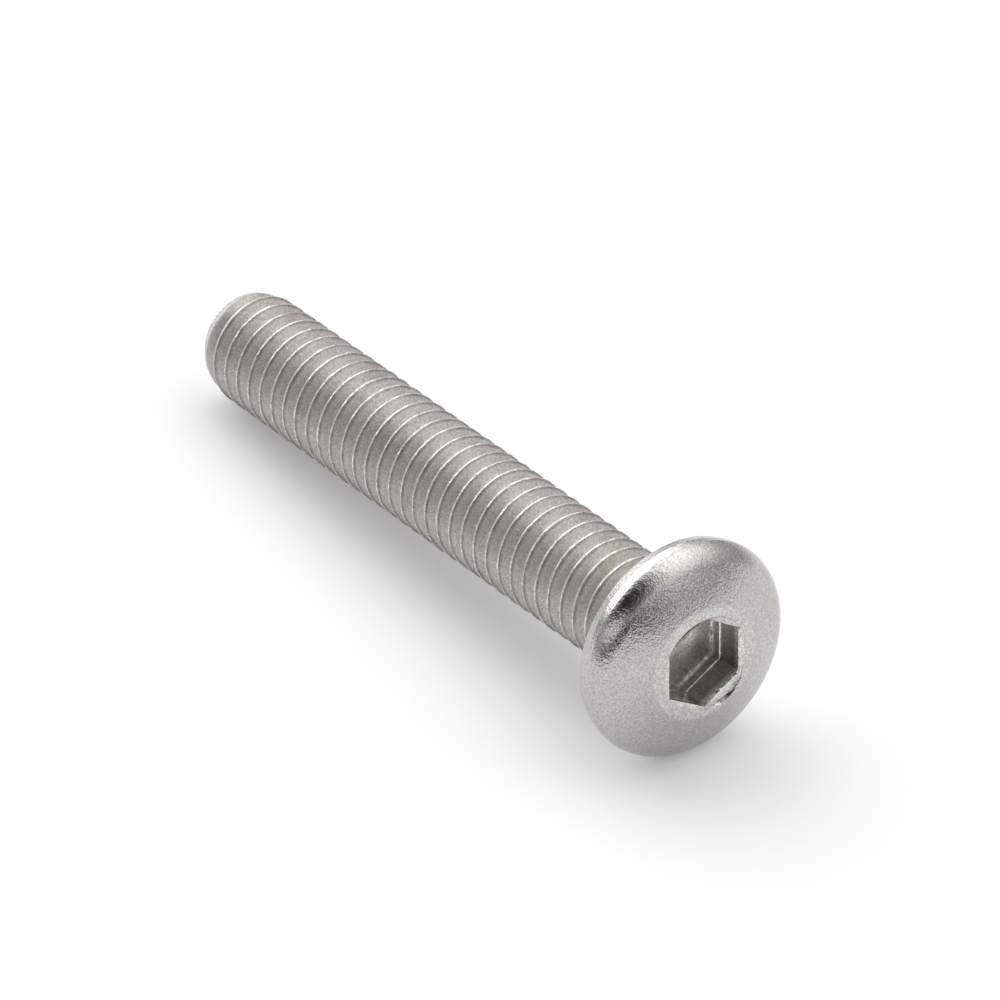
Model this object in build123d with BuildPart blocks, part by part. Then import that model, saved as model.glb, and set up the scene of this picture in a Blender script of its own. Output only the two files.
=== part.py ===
from build123d import *

import os
from math import acos, atan2, cos, degrees, radians, sin, sqrt, tan

# Button head screw with a hexagon socket, M3 x 18, threaded up to a short bare neck.
# It is drawn upright, point down and head up, with its bearing face at z = 0,
# and is laid down at the end the way it comes to rest on a flat surface.
# All sizes are in millimetres and all angles in degrees.

# Thread: a right-hand groove with straight flanks and a flat root
thread_diameter = 2.90
thread_pitch = 0.50
thread_flank_angle = 30
crest_width = 0.06
root_width = 0.12

# Shank, from the bearing face down to the end of the point
screw_length = 18.0
neck_diameter = 2.62
neck_length = 0.55
neck_flare = 0.16

# Point: the thread's crests fade in three steps
point_diameter = 2.15
point_step_diameter = 2.46
point_step_length = 0.20
point_shoulder_diameter = 2.79
point_shoulder_length = 0.65
point_length = 1.10

# Head: a leaning rim under a dome with a flat crown
head_diameter = 5.60
head_height = 1.34
bearing_diameter = 5.24
rim_edge_diameter = 5.44
rim_edge_height = 0.08
rim_height = 0.50
crown_diameter = 2.90

# Socket: a hexagon down to a ledge, then a slightly smaller hexagon to the floor
socket_flats = 2.04
socket_ledge_depth = 0.70
pilot_flats = 1.93
socket_depth = 1.00
socket_angle = -16
mouth_diameter = 2.38
mouth_slope = 35

# How far the lying screw is turned about its own length
roll_angle = 73.2

# How far a cutting profile reaches past the surface that it cuts
cutter_overrun = 0.03

thread_radius = thread_diameter / 2
neck_radius = neck_diameter / 2
point_radius = point_diameter / 2
head_radius = head_diameter / 2
crown_radius = crown_diameter / 2
mouth_radius = mouth_diameter / 2

# The groove is as wide at the crests as the pitch leaves it, and narrows down its flanks
flank_run = tan(radians(thread_flank_angle))
groove_width = thread_pitch - crest_width
root_radius = thread_radius - (groove_width - root_width) / 2 / flank_run
groove_turns = round((screw_length - neck_length) / thread_pitch) + 1

# The dome is the top of a flattened ellipse, cut off by the crown
dome_height = (head_height - rim_height) / sqrt(1 - (crown_radius / head_radius) ** 2)
dome_arc = degrees(acos(crown_radius / head_radius))

# One turn of the groove, swept up a helix from z = 0
with BuildPart() as groove:
    with BuildLine() as groove_path:
        Helix(thread_pitch, thread_pitch, thread_radius)
    with BuildSketch(Plane.XZ):
        with BuildLine():
            outer_radius = thread_radius + cutter_overrun
            outer_half = groove_width / 2 + cutter_overrun * flank_run
            root_half = root_width / 2
            Polyline(
                (outer_radius, -outer_half),
                (root_radius, -root_half),
                (root_radius, root_half),
                (outer_radius, outer_half),
                close=True,
            )
        make_face()
    sweep(path=groove_path.wires()[0], is_frenet=True)

with BuildPart() as screw:
    # Shank: a plain rod, with the groove cut turn by turn from below its end up to the neck
    with Locations((0, 0, -screw_length / 2)):
        Cylinder(thread_radius, screw_length)
    first_turn = -screw_length - thread_pitch
    with Locations([(0, 0, first_turn + turn * thread_pitch) for turn in range(groove_turns)]):
        add(groove.part, mode=Mode.SUBTRACT)

    # Point: what lies outside it is turned away
    with BuildSketch(Plane.XZ):
        with BuildLine():
            end = -screw_length
            Polyline(
                (point_radius, end - cutter_overrun),
                (point_radius, end),
                (point_step_diameter / 2, end + point_step_length),
                (point_shoulder_diameter / 2, end + point_shoulder_length),
                (thread_radius, end + point_length),
                (thread_diameter, end + point_length),
                (thread_diameter, end - cutter_overrun),
                close=True,
            )
        make_face()
    revolve(axis=Axis.Z, mode=Mode.SUBTRACT)

    # Neck: the bare shank between the last thread and the head
    with BuildSketch(Plane.XZ):
        with BuildLine():
            neck_step = thread_radius + cutter_overrun - neck_radius
            Polyline(
                (neck_radius, cutter_overrun),
                (neck_radius, -neck_length),
                (neck_radius + neck_step, -neck_length - neck_step),
                (neck_radius + neck_step, cutter_overrun),
                close=True,
            )
        make_face()
    revolve(axis=Axis.Z, mode=Mode.SUBTRACT)

    # Head, with the flare that joins it to the neck
    with BuildSketch(Plane.XZ):
        with BuildLine():
            Polyline(
                (0, head_height),
                (0, -neck_flare),
                (neck_radius, -neck_flare),
                (neck_radius + neck_flare, 0),
                (bearing_diameter / 2, 0),
                (rim_edge_diameter / 2, rim_edge_height),
                (head_radius, rim_height),
            )
            EllipticalCenterArc(
                (0, rim_height), head_radius, dome_height, start_angle=0, arc_size=dome_arc
            )
            Line((crown_radius, head_height), (0, head_height))
        make_face()
    revolve(axis=Axis.Z)

    # Socket
    with BuildSketch(Plane.XY.offset(head_height)):
        RegularPolygon(socket_flats / 2, 6, major_radius=False, rotation=socket_angle)
    extrude(amount=-socket_ledge_depth, mode=Mode.SUBTRACT)
    with BuildSketch(Plane.XY.offset(head_height - socket_ledge_depth)):
        RegularPolygon(pilot_flats / 2, 6, major_radius=False, rotation=socket_angle)
    extrude(amount=socket_ledge_depth - socket_depth, mode=Mode.SUBTRACT)
    with BuildSketch(Plane.XZ):
        with BuildLine():
            mouth_depth = mouth_radius * tan(radians(mouth_slope))
            Polyline(
                (0, head_height),
                (mouth_radius, head_height),
                (0, head_height - mouth_depth),
                close=True,
            )
        make_face()
    revolve(axis=Axis.Z, mode=Mode.SUBTRACT)

# Lying down, the screw touches at the widest part of its rim and at its last full crest,
# so its axis climbs towards the head, which points along +X
rest_tilt = atan2(head_radius - thread_radius, screw_length - point_length + rim_height)
seat_height = head_radius * cos(rest_tilt) - rim_height * sin(rest_tilt)
crown_reach = head_height * cos(rest_tilt) + crown_radius * sin(rest_tilt)
point_reach = screw_length * cos(rest_tilt) + point_radius * sin(rest_tilt)
seat = ((point_reach - crown_reach) / 2, 0, seat_height)

with BuildPart() as lying_screw:
    with Locations(Location(seat, (0, 90 - degrees(rest_tilt), roll_angle))):
        add(screw.part)

os.makedirs("parts", exist_ok=True)
lying_screw.part.label = "button_head_screw"
export_step(lying_screw.part, "parts/button_head_screw.step")
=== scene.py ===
import bpy
from math import atan2, cos, degrees, hypot, pi, radians, sin, tan
from mathutils import Matrix, Vector, noise


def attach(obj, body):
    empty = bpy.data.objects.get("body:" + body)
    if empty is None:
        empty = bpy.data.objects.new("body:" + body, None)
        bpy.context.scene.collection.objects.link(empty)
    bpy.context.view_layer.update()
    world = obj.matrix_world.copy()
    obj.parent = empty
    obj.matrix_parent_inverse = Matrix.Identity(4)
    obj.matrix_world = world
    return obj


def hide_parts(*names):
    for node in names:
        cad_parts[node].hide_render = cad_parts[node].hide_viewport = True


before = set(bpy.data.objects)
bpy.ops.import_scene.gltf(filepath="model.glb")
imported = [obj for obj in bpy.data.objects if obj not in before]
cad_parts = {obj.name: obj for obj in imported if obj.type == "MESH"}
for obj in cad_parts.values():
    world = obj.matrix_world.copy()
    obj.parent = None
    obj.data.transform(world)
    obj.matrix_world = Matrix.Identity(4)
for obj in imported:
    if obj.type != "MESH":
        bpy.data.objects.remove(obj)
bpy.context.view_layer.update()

# The screw is modelled upright in millimetres and degrees, point down and head up, with its bearing
# face at height 0, and is laid down and brought to metres at the end
metresPerMillimetre = 0.001
stepsPerTurn = 120
mergeDistance = 0.0005
rollAngle = 73.2
rollShift = rollAngle + 180  # from an angle round the lying screw, counted from its top, to the upright one


def clearSelection():
    if bpy.context.object and bpy.context.object.mode != 'OBJECT':
        bpy.ops.object.mode_set(mode='OBJECT')
    bpy.ops.object.select_all(action='DESELECT')


def activate(piece):
    clearSelection()
    piece.select_set(True)
    bpy.context.view_layer.objects.active = piece


def drawProfile(name, points):
    # One vertex, extruded from point to point in the XZ plane
    clearSelection()
    bpy.ops.mesh.primitive_plane_add(size=1)
    piece = bpy.context.object
    piece.name = name
    bpy.ops.object.mode_set(mode='EDIT')
    bpy.ops.mesh.merge(type='CENTER')
    bpy.ops.transform.translate(value=(points[0][0], 0, points[0][1]))
    for start, end in zip(points, points[1:]):
        step = (end[0] - start[0], 0, end[1] - start[1])
        bpy.ops.mesh.extrude_region_move(TRANSFORM_OT_translate={'value': step})
    bpy.ops.object.mode_set(mode='OBJECT')
    return piece


def spinProfile(piece, rise=0, turns=1):
    spin = piece.modifiers.new('Spin', 'SCREW')
    spin.axis = 'Z'
    spin.angle = 2 * pi
    spin.steps = spin.render_steps = stepsPerTurn
    spin.screw_offset = rise
    spin.iterations = turns
    spin.use_merge_vertices = False
    activate(piece)
    bpy.ops.object.modifier_apply(modifier=spin.name)
    bpy.ops.object.mode_set(mode='EDIT')
    bpy.ops.mesh.select_all(action='SELECT')
    bpy.ops.mesh.remove_doubles(threshold=mergeDistance)
    bpy.ops.mesh.normals_make_consistent(inside=False)
    bpy.ops.mesh.select_all(action='DESELECT')
    bpy.ops.object.mode_set(mode='OBJECT')


def arcPoints(centre, radius, startAngle, endAngle, count):
    angles = [radians(startAngle + (endAngle - startAngle) * i / count) for i in range(count + 1)]
    return [(centre[0] + radius * cos(angle), centre[1] + radius * sin(angle)) for angle in angles]


def blendBetween(value, low, high):
    # From 0 at the low value to 1 at the high one, with soft ends
    share = min(max((value - low) / (high - low), 0), 1)
    return share * share * (3 - 2 * share)


def smoothFaces(piece, sharpAngle):
    activate(piece)
    bpy.ops.object.shade_smooth_by_angle(angle=radians(sharpAngle))


# Thread and shank

threadForm = {
    'radius': 1.45,
    'pitch': 0.50,
    'beadHalf': 0.028,  # the crest is a narrow rolled bead, a little proud of the flanks
    'beadHeight': 0.022,
    'beadFoot': 0.012,  # the flanks end this far beside the bead
    'beadShoulder': (0.008, 0.62),  # how far under the crest, and at what share of the bead's half
    'crestFlat': 0.22,  # share of the bead's half
    'crestShift': 0.025,  # sets where round the screw the crests begin
    'rootRadius': 1.173,
    'rootHalf': 0.06,
    'rootRise': 0.020,  # the root is rounded up this far at its sides
    'rootBend': (0.002, 0.55),  # how far the root has risen, and at what share of its half
    'flankShares': (0.35, 0.70, 0.94),
    'sharpAngle': 40,
    'length': 18.0,
    'neckRadius': 1.31,
    'neckLength': 0.55,
    'runOut': 0.12,
    'topDepth': 0.288,  # the shank's mesh ends here and is bridged to the head's
    'pointSteps': [(0, 1.10), (0.20, 1.25), (0.65, 1.395), (1.10, 1.45)],  # height over the end, radius
    'endLean': 0.10,  # the end is cut a little out of square
    'endLeanAngle': 110,
    'solidEndRadius': 1.075,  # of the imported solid, whose place on the floor the screw takes
    'wander': 0.020,  # how far the crests waver
    'wanderFade': (0.05, 0.01),  # how far under the crest this begins, and where it is full
    'wanderSink': 0.6,
    'wanderAlong': 0.9,
    'fineScale': 6,
    'coarseScale': 1.9,
    'coarseOffset': 7,  # keeps the coarse noise apart from the fine one
}


def pitchProfile(form):
    # From one root over the crest to the next root
    radius, half = form['radius'], form['beadHalf']
    middle = form['pitch'] / 2
    root, rootHalf = form['rootRadius'], form['rootHalf']
    bendRise, bendShare = form['rootBend']
    flankStart = root + form['rootRise']
    flankEnd = radius - form['beadHeight']
    below = [(root, 0), (root + bendRise, rootHalf * bendShare), (flankStart, rootHalf)]
    for share in form['flankShares']:
        below.append((flankStart + (flankEnd - flankStart) * share,
                      rootHalf + (middle - half - form['beadFoot'] - rootHalf) * share))
    shoulderDrop, shoulderShare = form['beadShoulder']
    below.append((flankEnd, middle - half))
    below.append((radius - shoulderDrop, middle - half * shoulderShare))
    below.append((radius, middle - half * form['crestFlat']))
    return below + [(r, form['pitch'] - z) for r, z in reversed(below)]


def threadPhase(x, y, z, form):
    # 0.5 on the crest, more towards the head, less towards the point
    start = -form['length'] - form['pitch'] + form['crestShift']
    return ((z - start) / form['pitch'] - atan2(y, x) / (2 * pi)) % 1


def limitAt(height, form):
    # The largest radius that the point leaves at a height over the end
    steps = form['pointSteps']
    if height <= 0:
        return steps[0][1]
    for (z0, r0), (z1, r1) in zip(steps, steps[1:]):
        if height <= z1:
            return r0 + (r1 - r0) * (height - z0) / (z1 - z0)
    return form['radius']


def endLift(x, y, form):
    # The end plane's height over the nominal end, taken at the end's own radius
    angle = atan2(y, x) - radians(form['endLeanAngle'] - rollShift)
    return form['endLean'] * (1 + cos(angle) * min(hypot(x, y) / form['pointSteps'][0][1], 1))


def shapeShank(vertex, form):
    # The crests waver, the point fades, and the thread runs out into the neck
    x, y, z = vertex.co
    radius = hypot(x, y)
    rough = form['wander'] * blendBetween(radius, *[form['radius'] - drop for drop in form['wanderFade']])
    fine = noise.noise(Vector((x, y, z)) * form['fineScale'])
    coarse = noise.noise(Vector((x + form['coarseOffset'], y, z)) * form['coarseScale'])
    limit = limitAt(z + form['length'] - endLift(x, y, form), form)
    wanted = min(radius - rough * (form['wanderSink'] + fine), limit)
    neckShare = blendBetween(z, -form['neckLength'] - form['runOut'], -form['neckLength'] + form['runOut'])
    wanted += (form['neckRadius'] - wanted) * neckShare
    vertex.co.x *= wanted / radius
    vertex.co.y *= wanted / radius
    vertex.co.z += rough * coarse * form['wanderAlong'] * (1 - neckShare)


def makeShank(form):
    # The helix begins and ends past the shank, and both ends are then cut off
    turns = int(form['length'] / form['pitch']) + 3
    bottom = -form['length'] - 2 * form['pitch'] + form['crestShift']
    shank = drawProfile('Shank', [(r, z + bottom) for r, z in pitchProfile(form)])
    spinProfile(shank, rise=form['pitch'], turns=turns)
    for vertex in shank.data.vertices:
        shapeShank(vertex, form)
    endSlope = form['endLean'] / form['pointSteps'][0][1]
    endAngle = radians(form['endLeanAngle'] - rollShift)
    endNormal = Vector((-cos(endAngle) * endSlope, -sin(endAngle) * endSlope, 1)).normalized()
    endPlace = (0, 0, -form['length'] + form['endLean'])
    topPlace = (0, 0, -form['topDepth'])
    activate(shank)
    bpy.ops.object.mode_set(mode='EDIT')
    bpy.ops.mesh.select_all(action='SELECT')
    bpy.ops.mesh.bisect(plane_co=endPlace, plane_no=endNormal, use_fill=True, clear_inner=True)
    bpy.ops.mesh.select_all(action='SELECT')
    bpy.ops.mesh.bisect(plane_co=topPlace, plane_no=(0, 0, 1), clear_outer=True)
    bpy.ops.object.mode_set(mode='OBJECT')
    smoothFaces(shank, form['sharpAngle'])
    print('shank', len(shank.data.polygons))
    return shank


# Head and socket

headForm = {
    'footDepth': 0.224,  # the head's mesh begins here, under the flare
    'neckFlare': 0.16,
    'flareSteps': 10,
    'bearingRadius': 2.62,
    'bearingSteps': 4,
    'rimEdgeRadius': 2.72,
    'rimEdgeHeight': 0.08,
    'bandRadius': 2.787,
    'bandHeight': 0.33,
    'radius': 2.80,
    'rimHeight': 0.50,
    'edgeShares': (0, 0.08, 0.5, 0.92),  # close rings on both sides keep each rim edge crisp
    'height': 1.34,
    'shoulderRound': 0.656,  # the dome is two arcs, whose angles are counted from the screw's axis
    'shoulderStart': 80.0,
    'shoulderEnd': 25.26,
    'domeRound': 5.86,
    'crownAngle': 15.0,
    'domeSteps': 16,
    'crownRadius': 1.45,
    'crownEdge': 0.012,
    'crownRings': 10,
    'ringGap': 0.024,
    'sharpAngle': 9.5,
    'mouthRadius': 1.19,
    'mouthEdge': 0.014,
    'mouthDepths': (0.10, 0.13),  # of the mouth's two rings, before they are sloped
    'mouthFlare': 0.02,
    'mouthLip': 0.035,
    'mouthSlopes': [3, 28, 35, 3, 4, 3],  # one for each side of the hexagon, counted from its first corner
    'slopeBlend': 0.08,
    'socketApothem': 1.02,
    'socketDepth': 1.02,
    'socketAngle': -16,
    'wallSteps': 5,
    'ledgeDepth': 0.70,
    'ledgeWear': 0.02,
    'ledgeInset': 0.003,
    'ledgeGaps': (0.015, 0.006),  # of the rings beside the ledge
    'pilotApothem': 0.976,
    'pilotSteps': 3,
    'floorRound': (0.012, 0.014),
    'floorShares': (0.92, 0.8, 0.6, 0.4, 0.2, 0),
    'floorSwell': 0.012,
    'floorScale': 3,
    'floorLayer': 3,
    'ringTolerance': 0.01,
    'dentSide': 5,
    'dentReach': 0.19,
    'dentSpread': 38,
    'dentFullness': 0.7,
    'dentLeast': 0.05,
    'dentDepth': 0.050,
    'dentRamp': (0.10, 0.25),  # how far inside the mouth the bruise begins, and its share of the depth there
    'dentSoftness': 0.012,
    'dentRoughness': 0.026,
    'dentScale': 11,
}


def headProfile(form):
    # From under the flare over the rim, the dome and the crown to the mouth
    neck, flare = threadForm['neckRadius'], form['neckFlare']
    points = [(neck, -form['footDepth'])]
    points += arcPoints((neck + flare, -flare), flare, 180, 90, form['flareSteps'])
    bearingStep = (form['bearingRadius'] - neck - flare) / form['bearingSteps']
    points += [(neck + flare + bearingStep * i, 0) for i in range(1, form['bearingSteps'])]
    edge = [(form['bearingRadius'], 0), (form['rimEdgeRadius'], form['rimEdgeHeight']),
            (form['bandRadius'], form['bandHeight']), (form['radius'], form['rimHeight'])]
    for start, end in zip(edge, edge[1:]):
        points += [(start[0] + (end[0] - start[0]) * share, start[1] + (end[1] - start[1]) * share)
                   for share in form['edgeShares']]
    shoulder, dome = form['shoulderRound'], form['domeRound']
    start, turn = radians(form['shoulderStart']), radians(form['shoulderEnd'])
    startAngle, turnAngle, crownAngle = [
        90 - form[name] for name in ('shoulderStart', 'shoulderEnd', 'crownAngle')]
    centre = (form['radius'] - shoulder * sin(start), form['rimHeight'] - shoulder * cos(start))
    domeCentre = (centre[0] + (shoulder - dome) * sin(turn), centre[1] + (shoulder - dome) * cos(turn))
    points += arcPoints(centre, shoulder, startAngle, turnAngle, form['domeSteps'])
    points += arcPoints(domeCentre, dome, turnAngle, crownAngle, form['domeSteps'])[1:]
    crown = form['crownRadius'] - form['crownEdge']
    points += [(crown - form['ringGap'] * i, form['height']) for i in range(form['crownRings'])]
    mouth = form['mouthRadius']
    points += [(mouth + form['mouthEdge'], form['height']), (mouth, form['height'])]
    return points


def socketProfile(form):
    # Rings from the mouth down, each given by the distance of its flats
    top = form['height']
    flats, pilot = form['socketApothem'], form['pilotApothem']
    ledge, floor = top - form['ledgeDepth'], top - form['socketDepth']
    upper, lower = [top - depth for depth in form['mouthDepths']]
    farGap, nearGap = form['ledgeGaps']
    wallStep = (lower - ledge - farGap) / form['wallSteps']
    rings = [(flats + form['mouthFlare'], upper)]
    rings += [(flats, lower - wallStep * i) for i in range(form['wallSteps'] + 1)]
    rings += [(flats, ledge + nearGap), (flats - form['ledgeInset'], ledge)]
    wornEdge = ledge - form['ledgeWear']
    below = wornEdge - nearGap
    rings += [(pilot + form['ledgeWear'], ledge), (pilot, wornEdge), (pilot, below)]
    inward, upward = form['floorRound']
    pilotStep = (below - floor - upward) / form['pilotSteps']
    rings += [(pilot, below - pilotStep * i) for i in range(1, form['pilotSteps'] + 1)]
    rings += [(pilot - inward, floor)]
    rings += [(pilot * share, floor) for share in form['floorShares']]
    return rings


def hexagonReach(angle):
    # Distance to a hexagon's side over its apothem, with a corner at angle 0
    return 1 / cos(radians((degrees(angle) % 60) - 30))


def mouthSlopeAt(angle, form):
    # Each side has its own slope, blended over the corners
    slopes, blend = form['mouthSlopes'], form['slopeBlend']
    turn = (degrees(angle) % 360) / 60
    side = int(turn) % 6
    inSide = turn - int(turn)
    if inSide < blend:
        return slopes[side] + (slopes[side - 1] - slopes[side]) * (1 - inSide / blend) / 2
    if inSide > 1 - blend:
        return slopes[side] + (slopes[(side + 1) % 6] - slopes[side]) * (1 - (1 - inSide) / blend) / 2
    return slopes[side]


def dentEdge(angle, form):
    # Outer edge of the bruise beside one side of the mouth, and how strong it is at this angle
    middle = form['dentSide'] * 60 + 30
    off = (degrees(angle) - middle + 180) % 360 - 180
    spread = form['dentSpread']
    swell = max(cos(radians(off * 90 / spread)), 0) if abs(off) < spread else 0
    return form['mouthRadius'] + form['dentReach'] * swell ** form['dentFullness'], swell


def shapeSocket(vertex, radius, angle, form):
    # Round rings become hexagons, the mouth's two rings take its slopes, and the floor swells a little
    x, y, z = vertex.co
    top, near = form['height'], form['ringTolerance']
    upper, lower = form['mouthDepths']
    radius *= hexagonReach(angle)
    vertex.co.x, vertex.co.y = radius * cos(angle), radius * sin(angle)
    if z > top - lower - near:
        radius = min(radius, form['mouthRadius'])
        drop = (form['mouthRadius'] - radius) * tan(radians(mouthSlopeAt(angle, form)))
        lip = form['mouthLip'] if z < top - upper - near else 0
        vertex.co.z = top - drop - lip
    elif z < top - form['socketDepth'] + near:
        place = Vector((x, y, form['floorLayer'])) * form['floorScale']
        vertex.co.z += form['floorSwell'] * noise.noise(place)
    return radius


def dentDrop(x, y, radius, angle, form):
    # How far the bruise lowers a place on the crown or the mouth
    edge, swell = dentEdge(angle, form)
    soft = form['dentSoftness']
    inside = blendBetween(edge - radius, -soft, soft)
    if swell <= form['dentLeast'] or inside == 0:
        return 0
    rampStart, least = form['dentRamp']
    outward = blendBetween(radius, form['mouthRadius'] - rampStart, edge)
    rough = form['dentRoughness'] * noise.noise(Vector((x, y, 0)) * form['dentScale'])
    return inside * (form['dentDepth'] * (least + (1 - least) * outward) * swell + rough)


def makeHead(form):
    head = drawProfile('Head', headProfile(form) + socketProfile(form))
    spinProfile(head)
    socketRadius = form['socketApothem'] + form['mouthFlare'] + form['ringTolerance']
    mouthBottom = form['height'] - form['mouthDepths'][1] - form['ringTolerance']
    for vertex in head.data.vertices:
        x, y, z = vertex.co
        radius, angle = hypot(x, y), atan2(y, x)
        if z > 0 and 0 < radius <= socketRadius:
            radius = shapeSocket(vertex, radius, angle, form)
        if z > mouthBottom:
            vertex.co.z -= dentDrop(x, y, radius, angle, form)
    head.data.transform(Matrix.Rotation(radians(form['socketAngle']), 4, 'Z'))
    smoothFaces(head, form['sharpAngle'])
    print('head', len(head.data.polygons))
    return head


def joinScrew(shank, head):
    clearSelection()
    shank.select_set(True)
    head.select_set(True)
    bpy.context.view_layer.objects.active = shank
    bpy.ops.object.join()
    bpy.ops.object.mode_set(mode='EDIT')
    bpy.ops.mesh.select_mode(type='EDGE')
    bpy.ops.mesh.select_all(action='DESELECT')
    bpy.ops.mesh.select_non_manifold()
    bpy.ops.mesh.bridge_edge_loops()
    bpy.ops.mesh.select_all(action='SELECT')
    bpy.ops.mesh.normals_make_consistent(inside=False)
    bpy.ops.mesh.select_all(action='DESELECT')
    bpy.ops.object.mode_set(mode='OBJECT')
    shank.name = 'screw'
    print('screw', len(shank.data.polygons))
    return shank


# Wear and painted light: three masks for the steel, one for worn bright places and painted highlights, one
# for painted shade, and one for how matte it is

# A pair for shine or painted shade holds the least and what comes on top of it, and a pair for a fade holds
# where it begins and where it ends

wearAndPaintedLightForm = {
    'patchScale': 4.5,
    'crestFade': (0.028, 0.014),  # how far under the crest
    'crestShine': (0.45, 0.75),
    'crestTopShine': (0.55, 0.60),
    'crestTopAngle': 10,  # where round the screw the painted highlight on the crests is brightest, counted from its top
    'rootSoil': (0.5, 1.0),
    'rootSoilPlace': 0.010,  # where the painted shade lies, measured from the bead on its head side
    'rootSoilFade': (0.004, 0.035),
    'endFade': (0.2, 0.3),  # height over the end
    'endFadeShare': 0.7,
    'endPolish': 0.7,
    'floorShine': (0.75, 0.60),
    'floorEdgeShine': 0.40,
    'floorEdgeFade': (0.05, 0.02),  # inwards of the lower hexagon
    'floorZone': 0.03,
    'floorMatte': 0.8,
    'ledgeZone': 0.004,
    'wallTopDepth': 0.09,
    'wallOver': 0.01,
    'wallMatte': 0.55,
    'wallSoil': (0.25, 0.75),
    'wallSoilAngle': 163,  # the painted shade is deepest opposite this angle
    'wallSoilFade': (-0.4, 0.4),
    'edgeMatte': 0.4,
    'mouthInset': 0.002,
    'mouthShine': 0.75,
    'steepSlope': 32,
    'steepMatte': 0.3,
    'steepSoil': 0.7,
    'lipSlope': 20,
    'lipEdges': (0.006, 0.020),  # outwards of the mouth
    'lipSoil': 0.9,
    'lipShine': 0.6,
    'dentSoil': 0.9,
    'dentSoilFade': (0.004, 0.028),
    'dentInset': 0.03,
    'dentMatte': 0.5,
    'dentShine': 0.6,
    'crownShine': 0.25,
    'crownZone': 0.1,
    'rimShine': 0.65,
    'rimAngle': 20,  # where round the screw the painted highlight on the rim is brightest, counted from its top
    'rimFade': (0.75, 0.95),
    'rimUnder': 0.02,  # the rim's band is marked from this far under it
    'rimOver': 0.01,  # up to this far over it
}


def wearAndPaintedLightOnShank(x, y, z, patches, wearAndPaintedLight, form):
    radius = hypot(x, y)
    wornAndHighlight = blendBetween(radius, *[form['radius'] - drop for drop in wearAndPaintedLight['crestFade']])
    # The crests are worn bright, and a painted highlight makes them brighter towards the top
    upward = 0.5 + 0.5 * cos(atan2(y, x) + radians(rollShift - wearAndPaintedLight['crestTopAngle']))
    least, patchy = wearAndPaintedLight['crestShine']
    topLeast, topMore = wearAndPaintedLight['crestTopShine']
    shine = wornAndHighlight * (least + patchy * patches) * (topLeast + topMore * upward)
    soil, matte = 0, 1
    # A thin painted shade lies in the corner on the head side of each crest's bead
    if z < -form['neckLength']:
        overCrest = (threadPhase(x, y, z, form) - 0.5) * form['pitch']
        away = abs(overCrest - form['beadHalf'] - wearAndPaintedLight['rootSoilPlace'])
        shadeLeast, shadeMore = wearAndPaintedLight['rootSoil']
        beside = 1 - blendBetween(away, *wearAndPaintedLight['rootSoilFade'])
        soil = beside * (1 - wornAndHighlight) * (shadeLeast + shadeMore * patches)
    endHeight = z + form['length'] - endLift(x, y, form)
    # The end's upper side gets a painted highlight, and is made smoother there
    if endHeight < wearAndPaintedLight['endFade'][1]:
        faded = 1 - wearAndPaintedLight['endFadeShare'] * blendBetween(endHeight, *wearAndPaintedLight['endFade'])
        shine = max(shine, faded * upward ** 3)
        matte -= wearAndPaintedLight['endPolish'] * upward
    return shine, soil, matte


def wearAndPaintedLightInSocket(z, radius, angle, patches, wearAndPaintedLight, form):
    top = form['height']
    ledge, floor = top - form['ledgeDepth'], top - form['socketDepth']
    flats = radius / hexagonReach(angle)
    # The socket's floor gets painted light, brighter towards its edge
    if z < floor + wearAndPaintedLight['floorZone']:
        least, patchy = wearAndPaintedLight['floorShine']
        nearEdge = blendBetween(flats, *[form['pilotApothem'] - inset for inset in wearAndPaintedLight['floorEdgeFade']])
        return least + patchy * patches + wearAndPaintedLight['floorEdgeShine'] * nearEdge, 0, wearAndPaintedLight['floorMatte']
    # The ledge's edges get a painted highlight
    if min(abs(z - ledge), abs(z - ledge + form['ledgeWear'])) < wearAndPaintedLight['ledgeZone']:
        return 1, 0, wearAndPaintedLight['edgeMatte']
    # The socket's walls get painted shade, deeper on one side
    if z < top - wearAndPaintedLight['wallTopDepth'] and flats < form['socketApothem'] + wearAndPaintedLight['wallOver']:
        least, more = wearAndPaintedLight['wallSoil']
        shaded = blendBetween(-cos(angle - radians(wearAndPaintedLight['wallSoilAngle'])), *wearAndPaintedLight['wallSoilFade'])
        return 0, least + more * shaded, wearAndPaintedLight['wallMatte']
    # Steep sides of the mouth get painted shade
    if mouthSlopeAt(angle, form) > wearAndPaintedLight['steepSlope']:
        return 0, wearAndPaintedLight['steepSoil'], wearAndPaintedLight['steepMatte']
    return wearAndPaintedLight['mouthShine'], 0, wearAndPaintedLight['edgeMatte']


def wearAndPaintedLightOnCrown(radius, angle, patches, wearAndPaintedLight, form):
    shine = soil = matte = 0
    edge, swell = dentEdge(angle, form)
    # The bruise's edge gets painted shade where the crown steps down into it
    if swell > form['dentLeast']:
        soil = wearAndPaintedLight['dentSoil'] * (1 - blendBetween(abs(radius - edge), *wearAndPaintedLight['dentSoilFade']))
        if radius < edge - wearAndPaintedLight['dentInset']:
            matte, shine = wearAndPaintedLight['dentMatte'], wearAndPaintedLight['dentShine'] * patches
    if radius < form['crownRadius']:
        shine = max(shine, wearAndPaintedLight['crownShine'])
    # On gently sloped sides a thin ring just outside the mouth gets painted shade
    if wearAndPaintedLight['lipSlope'] < mouthSlopeAt(angle, form) < wearAndPaintedLight['steepSlope']:
        lipStart, lipEnd = [form['mouthRadius'] + over for over in wearAndPaintedLight['lipEdges']]
        if lipStart < radius < lipEnd:
            shine, soil = 0, wearAndPaintedLight['lipSoil']
        elif radius < lipStart:
            shine = wearAndPaintedLight['lipShine']
    return shine, soil, matte


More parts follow.
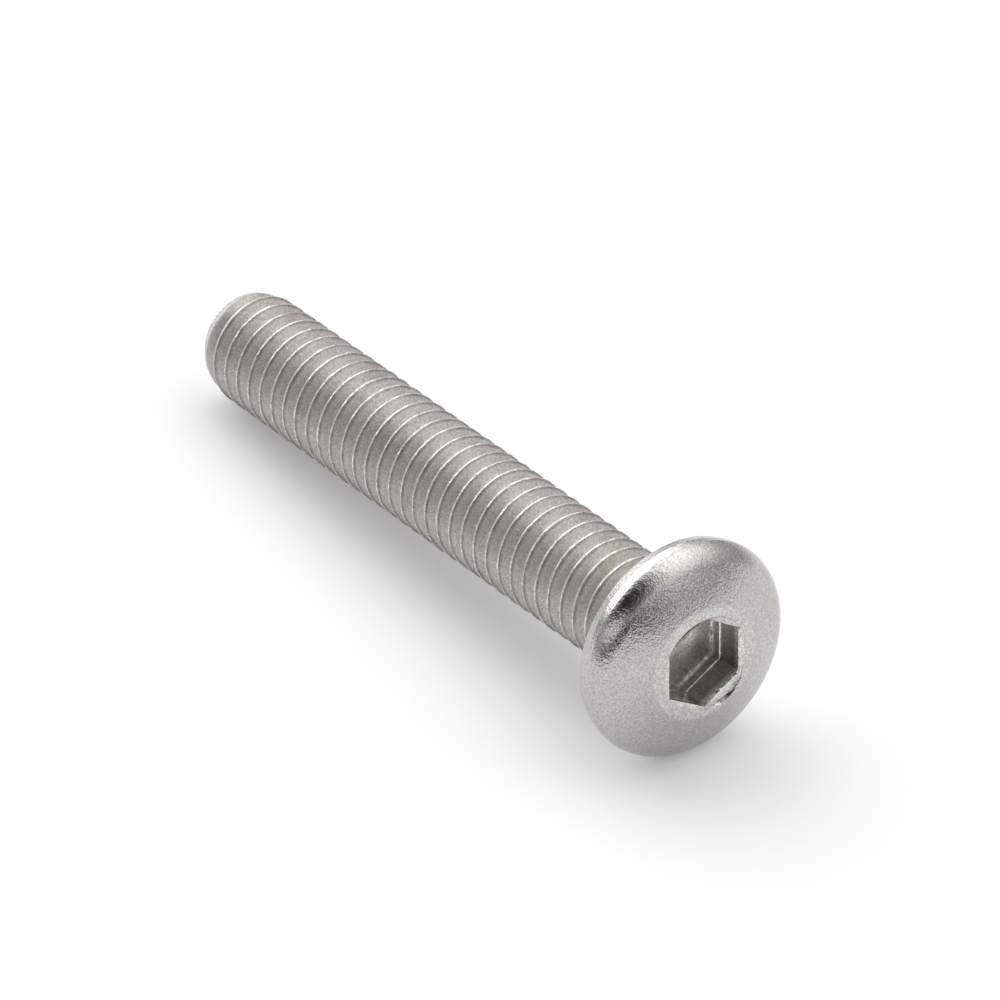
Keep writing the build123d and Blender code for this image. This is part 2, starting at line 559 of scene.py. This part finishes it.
def wearAndPaintedLightAt(x, y, z, wearAndPaintedLight):
    head = headForm
    radius, angle = hypot(x, y), atan2(y, x) - radians(head['socketAngle'])
    patches = 0.5 + 0.5 * noise.noise(Vector((x, y, z)) * wearAndPaintedLight['patchScale'])
    if z < 0:
        return wearAndPaintedLightOnShank(x, y, z, patches, wearAndPaintedLight, threadForm)
    if z > head['rimEdgeHeight'] and radius < head['mouthRadius'] - wearAndPaintedLight['mouthInset']:
        return wearAndPaintedLightInSocket(z, radius, angle, patches, wearAndPaintedLight, head)
    # The rim's band gets a painted highlight on its upper side
    onBand = head['bandHeight'] - wearAndPaintedLight['rimUnder'] < z < head['rimHeight'] + wearAndPaintedLight['rimOver']
    if onBand and radius > head['bandRadius'] - wearAndPaintedLight['rimUnder']:
        upward = cos(atan2(y, x) + radians(rollShift - wearAndPaintedLight['rimAngle']))
        return wearAndPaintedLight['rimShine'] * blendBetween(upward, *wearAndPaintedLight['rimFade']), 0, 0
    if z > head['height'] - wearAndPaintedLight['crownZone']:
        return wearAndPaintedLightOnCrown(radius, angle, patches, wearAndPaintedLight, head)
    return 0, 0, 0


def markWearAndPaintedLight(screw, wearAndPaintedLight):
    masks = [screw.data.attributes.new(name, 'FLOAT', 'POINT') for name in ('shine', 'soil', 'matte')]
    for i, vertex in enumerate(screw.data.vertices):
        shine, soil, matte = wearAndPaintedLightAt(*vertex.co, wearAndPaintedLight)
        for mask, amount in zip(masks, (min(shine, 1), soil, matte)):
            mask.data[i].value = amount
    print('wearAndPaintedLight')


def layDown(screw, thread, head):
    # The rim's widest part and the last full crest touch the floor, and the head points along +X
    pointLength = thread['pointSteps'][-1][0]
    tilt = atan2(head['radius'] - thread['radius'], thread['length'] - pointLength + head['rimHeight'])
    seatHeight = head['radius'] * cos(tilt) - head['rimHeight'] * sin(tilt)
    crownReach = head['height'] * cos(tilt) + head['crownRadius'] * sin(tilt)
    pointReach = thread['length'] * cos(tilt) + thread['solidEndRadius'] * sin(tilt)
    seat = Vector(((pointReach - crownReach) / 2, 0, seatHeight))
    turn = Matrix.Rotation(pi / 2 - tilt, 4, 'Y') @ Matrix.Rotation(radians(rollAngle), 4, 'Z')
    screw.data.transform(Matrix.Scale(metresPerMillimetre, 4) @ Matrix.Translation(seat) @ turn)


screw = joinScrew(makeShank(threadForm), makeHead(headForm))
markWearAndPaintedLight(screw, wearAndPaintedLightForm)
layDown(screw, threadForm, headForm)


# Steel

steelFinish = {
    # The head is a darker copy of the thread's steel, painted shade that dims its reflections
    'headColour': (0.49, 0.471, 0.453, 1),
    'threadColour': (0.575, 0.546, 0.518, 1),
    'wornAndHighlightColour': (0.86, 0.84, 0.81, 1),
    # The colour of the painted shade in creases, corners, steps and the socket
    'paintedShadeColour': (0.28, 0.245, 0.222, 1),
    'stainColour': (0.38, 0.32, 0.255, 1),
    'smoothness': 0.09,
    'matteness': 0.50,
    'wornRoughness': 0.24,
    'grainScale': 22000,
    'grainDepth': 0.0000080,
    'grainShade': 0.22,
    'pitScale': 8000,
    'pitDepth': 0.0000080,
    'stainScale': 900,
    'stainDetail': 4,
    'burnish': 0.8,  # share of the relief taken away on worn places and painted highlights
    # Between the first two values of a noise, the result goes from the third number to the fourth
    'pitWear': (0.33, 0.53, 0.15, 1),
    'grainWear': (0.36, 0.52, 0.45, 1),
    'stainShare': (0.56, 0.74, 0, 0.45),
    'pitRoughness': (0.30, 0.70, -0.05, 0.05),
    'grainFade': (0.25, 0.75),
}


def addNode(tree, kind, **settings):
    node = tree.nodes.new(kind)
    for name, value in settings.items():
        setattr(node, name, value)
    return node


def addMath(tree, operation, first, second):
    # A math node; each side is a socket or a number
    node = addNode(tree, 'ShaderNodeMath', operation=operation)
    for i, side in enumerate((first, second)):
        if hasattr(side, 'is_linked'):
            tree.links.new(side, node.inputs[i])
        else:
            node.inputs[i].default_value = side
    return node.outputs[0]


def addRange(tree, value, low, high, newLow, newHigh):
    node = addNode(tree, 'ShaderNodeMapRange', interpolation_type='SMOOTHSTEP')
    tree.links.new(value, node.inputs['Value'])
    for name, number in (('From Min', low), ('From Max', high), ('To Min', newLow), ('To Max', newHigh)):
        node.inputs[name].default_value = number
    return node.outputs['Result']


def addNoise(tree, place, scale, detail=2):
    node = addNode(tree, 'ShaderNodeTexNoise')
    tree.links.new(place, node.inputs['Vector'])
    node.inputs['Scale'].default_value = scale
    node.inputs['Detail'].default_value = detail
    return node.outputs['Fac']


def addMix(tree, share, first, second):
    # Mixes two colours, each a socket or a value
    node = addNode(tree, 'ShaderNodeMix', data_type='RGBA')
    tree.links.new(share, node.inputs['Factor'])
    for name, colour in (('A', first), ('B', second)):
        socket = next(s for s in node.inputs if s.name == name and s.type == 'RGBA')
        if hasattr(colour, 'is_linked'):
            tree.links.new(colour, socket)
        else:
            socket.default_value = colour
    return next(s for s in node.outputs if s.type == 'RGBA')


def addBump(tree, height, depth):
    node = addNode(tree, 'ShaderNodeBump')
    node.inputs['Distance'].default_value = depth
    tree.links.new(height, node.inputs['Height'])
    return node


def makeSteel(finish):
    steel = bpy.data.materials.new('satinStainlessSteel')
    steel.use_nodes = True
    tree = steel.node_tree
    shader = tree.nodes['Principled BSDF']
    shader.inputs['Metallic'].default_value = 1
    place = addNode(tree, 'ShaderNodeTexCoord').outputs['Object']
    shine, soil, matte = [addNode(tree, 'ShaderNodeAttribute', attribute_name=name).outputs['Fac']
                          for name in ('shine', 'soil', 'matte')]
    grain = addNoise(tree, place, finish['grainScale'])
    pits = addNoise(tree, place, finish['pitScale'])
    stains = addNoise(tree, place, finish['stainScale'], detail=finish['stainDetail'])

    # Grain and pits break the worn places up
    patchy = addMath(tree, 'MULTIPLY', addRange(tree, pits, *finish['pitWear']),
                     addRange(tree, grain, *finish['grainWear']))
    wornAndHighlight = addMath(tree, 'MULTIPLY', shine, patchy)

    # Colour: warm grey, darker on the head, with faint stains where it is matte, painted shade, bright worn
    # places and painted highlights, and fine specks
    stained = addMath(tree, 'MULTIPLY', addRange(tree, stains, *finish['stainShare']), matte)
    colour = addMix(tree, matte, finish['headColour'], finish['threadColour'])
    colour = addMix(tree, stained, colour, finish['stainColour'])
    colour = addMix(tree, soil, colour, finish['paintedShadeColour'])
    colour = addMix(tree, wornAndHighlight, colour, finish['wornAndHighlightColour'])
    shade = addRange(tree, grain, *finish['grainFade'], 1 - finish['grainShade'], 1 + finish['grainShade'])
    speckled = addNode(tree, 'ShaderNodeVectorMath', operation='SCALE')
    tree.links.new(colour, speckled.inputs[0])
    tree.links.new(shade, speckled.inputs['Scale'])
    tree.links.new(speckled.outputs[0], shader.inputs['Base Color'])

    # Roughness: smooth head, matte thread and socket, burnished edges
    added = addMath(tree, 'MULTIPLY', matte, finish['matteness'] - finish['smoothness'])
    rough = addMath(tree, 'ADD', finish['smoothness'], added)
    rough = addMath(tree, 'ADD', rough, addRange(tree, pits, *finish['pitRoughness']))
    change = addMath(tree, 'MULTIPLY', wornAndHighlight, addMath(tree, 'SUBTRACT', finish['wornRoughness'], rough))
    tree.links.new(addMath(tree, 'ADD', rough, change), shader.inputs['Roughness'])

    # Relief: tumbled grain over soft pits, fainter on worn places and painted highlights
    relief = addMath(tree, 'SUBTRACT', 1, addMath(tree, 'MULTIPLY', shine, finish['burnish']))
    coarse = addBump(tree, addMath(tree, 'MULTIPLY', pits, relief), finish['pitDepth'])
    fine = addBump(tree, addMath(tree, 'MULTIPLY', grain, relief), finish['grainDepth'])
    tree.links.new(coarse.outputs['Normal'], fine.inputs['Normal'])
    tree.links.new(fine.outputs['Normal'], shader.inputs['Normal'])
    print('steel')
    return steel


screw.data.materials.clear()
screw.data.materials.append(makeSteel(steelFinish))

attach(screw, 'root')
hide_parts('button_head_screw')


# Floor

paperFinish = {
    'size': 1.2,
    'colour': (0.78, 0.784, 0.792, 1),
    'roughness': 0.9,
    'backgroundGlow': 0.17,
}


def makeFloor(finish):
    clearSelection()
    bpy.ops.mesh.primitive_plane_add(size=finish['size'])
    floor = bpy.context.object
    floor.name = 'floor'
    paper = bpy.data.materials.new('whitePaper')
    paper.use_nodes = True
    tree = paper.node_tree
    shader = tree.nodes['Principled BSDF']
    shader.inputs['Base Color'].default_value = finish['colour']
    shader.inputs['Roughness'].default_value = finish['roughness']
    shader.inputs['Specular IOR Level'].default_value = 0
    # A little glow whitens the paper for the camera and in the steel, and lights nothing matt
    path = addNode(tree, 'ShaderNodeLightPath')
    mirrored = addMath(tree, 'MAXIMUM', path.outputs['Is Glossy Ray'], path.outputs['Is Transmission Ray'])
    seen = addMath(tree, 'MAXIMUM', path.outputs['Is Camera Ray'], mirrored)
    glow = addMath(tree, 'MULTIPLY', seen, finish['backgroundGlow'])
    tree.links.new(glow, shader.inputs['Emission Strength'])
    shader.inputs['Emission Color'].default_value = (1, 1, 1, 1)
    floor.data.materials.append(paper)
    print('floor')
    return floor


makeFloor(paperFinish)


# Studio

# Soft boxes and the dark parts of the room. Each is given by the direction of its middle, half its size
# and its lean, in degrees, and by the share of its size over which its edge fades. A later one covers an
# earlier one
studioPanels = {
    'topLight': {
        'azimuth': 20, 'elevation': 75, 'half': (25, 60), 'lean': 0, 'softness': 0.3, 'level': 1.0},
    'darkRoom': {
        'azimuth': -75, 'elevation': 60, 'half': (60, 25), 'lean': 0, 'softness': 0.2, 'level': 0.05},
    'frontFill': {
        'azimuth': -40, 'elevation': 22, 'half': (55, 10), 'lean': -10, 'softness': 0.3, 'level': 1.1},
    'cameraStand': {
        'azimuth': -15, 'elevation': 35, 'half': (25, 15), 'lean': 0, 'softness': 0.3, 'level': 0.1},
    'darkTable': {
        'azimuth': -20, 'elevation': 3, 'half': (80, 13), 'lean': 0, 'softness': 0.2, 'level': 0.01},
    'keyLight': {
        'azimuth': 110, 'elevation': 65, 'half': (50, 25), 'lean': -10, 'softness': 0.9, 'level': 2.0},
    'backLight': {
        'azimuth': 190, 'elevation': 40, 'half': (35, 25), 'lean': 20, 'softness': 0.3, 'level': 2.4},
}
skyLevel = 0.50


def makePanelGroup():
    # One panel: an ellipse with a soft edge round a direction, over what is behind it
    group = bpy.data.node_groups.new('softPanel', 'ShaderNodeTree')
    for name, kind in (('Direction', 'Vector'), ('Turn', 'Vector'), ('Size', 'Vector'), ('Inner', 'Float'),
                       ('Outer', 'Float'), ('Behind', 'Float'), ('Panel', 'Float')):
        group.interface.new_socket(name, in_out='INPUT', socket_type='NodeSocket' + kind)
    group.interface.new_socket('Level', in_out='OUTPUT', socket_type='NodeSocketFloat')
    given = addNode(group, 'NodeGroupInput')
    aim = addNode(group, 'ShaderNodeMapping', vector_type='TEXTURE')
    for name, socket in (('Direction', 'Vector'), ('Turn', 'Rotation'), ('Size', 'Scale')):
        group.links.new(given.outputs[name], aim.inputs[socket])
    parts = addNode(group, 'ShaderNodeSeparateXYZ')
    group.links.new(aim.outputs['Vector'], parts.inputs['Vector'])
    across = addMath(group, 'MULTIPLY', parts.outputs['Y'], parts.outputs['Y'])
    upward = addMath(group, 'MULTIPLY', parts.outputs['Z'], parts.outputs['Z'])
    away = addMath(group, 'POWER', addMath(group, 'ADD', across, upward), 0.5)
    edge = addNode(group, 'ShaderNodeMapRange', interpolation_type='SMOOTHSTEP')
    group.links.new(away, edge.inputs['Value'])
    group.links.new(given.outputs['Inner'], edge.inputs['From Min'])
    group.links.new(given.outputs['Outer'], edge.inputs['From Max'])
    edge.inputs['To Min'].default_value = 1
    edge.inputs['To Max'].default_value = 0
    ahead = addMath(group, 'GREATER_THAN', parts.outputs['X'], 0)
    blend = addNode(group, 'ShaderNodeMix')
    group.links.new(addMath(group, 'MULTIPLY', edge.outputs['Result'], ahead), blend.inputs['Factor'])
    group.links.new(given.outputs['Behind'], blend.inputs['A'])
    group.links.new(given.outputs['Panel'], blend.inputs['B'])
    group.links.new(blend.outputs['Result'], addNode(group, 'NodeGroupOutput').inputs['Level'])
    return group


def makeStudio(panels, behind):
    world = bpy.data.worlds.new('studio')
    bpy.context.scene.world = world
    world.use_nodes = True
    tree = world.node_tree
    direction = addNode(tree, 'ShaderNodeTexCoord').outputs['Generated']
    group = makePanelGroup()
    last = addNode(tree, 'ShaderNodeValue').outputs[0]
    last.default_value = behind
    for name, panel in panels.items():
        node = addNode(tree, 'ShaderNodeGroup', node_tree=group, label=name)
        node.inputs['Turn'].default_value = [
            radians(panel['lean']), -radians(panel['elevation']), radians(panel['azimuth'])]
        node.inputs['Size'].default_value = [1] + [sin(radians(half)) for half in panel['half']]
        node.inputs['Inner'].default_value = 1 - panel['softness']
        node.inputs['Outer'].default_value = 1 + panel['softness']
        node.inputs['Panel'].default_value = panel['level']
        tree.links.new(direction, node.inputs['Direction'])
        tree.links.new(last, node.inputs['Behind'])
        last = node.outputs['Level']
    tree.links.new(last, tree.nodes['Background'].inputs['Color'])
    print('studio', len(panels))


makeStudio(studioPanels, skyLevel)


# Camera

cameraPlace = {
    'lens': 304.56,
    'location': (134.22, -97.03, 122.97),
    'forward': (-0.6518, 0.4765, -0.5901),
    'clipStart': 0.01,
}


def makeCamera(place):
    bpy.ops.object.camera_add(location=[v * metresPerMillimetre for v in place['location']])
    camera = bpy.context.object
    camera.rotation_euler = Vector(place['forward']).to_track_quat('-Z', 'Y').to_euler()
    camera.data.lens = place['lens']
    camera.data.clip_start = place['clipStart']
    bpy.context.scene.camera = camera
    print('camera')


makeCamera(cameraPlace)
bpy.context.scene.view_settings.view_transform = 'Standard'
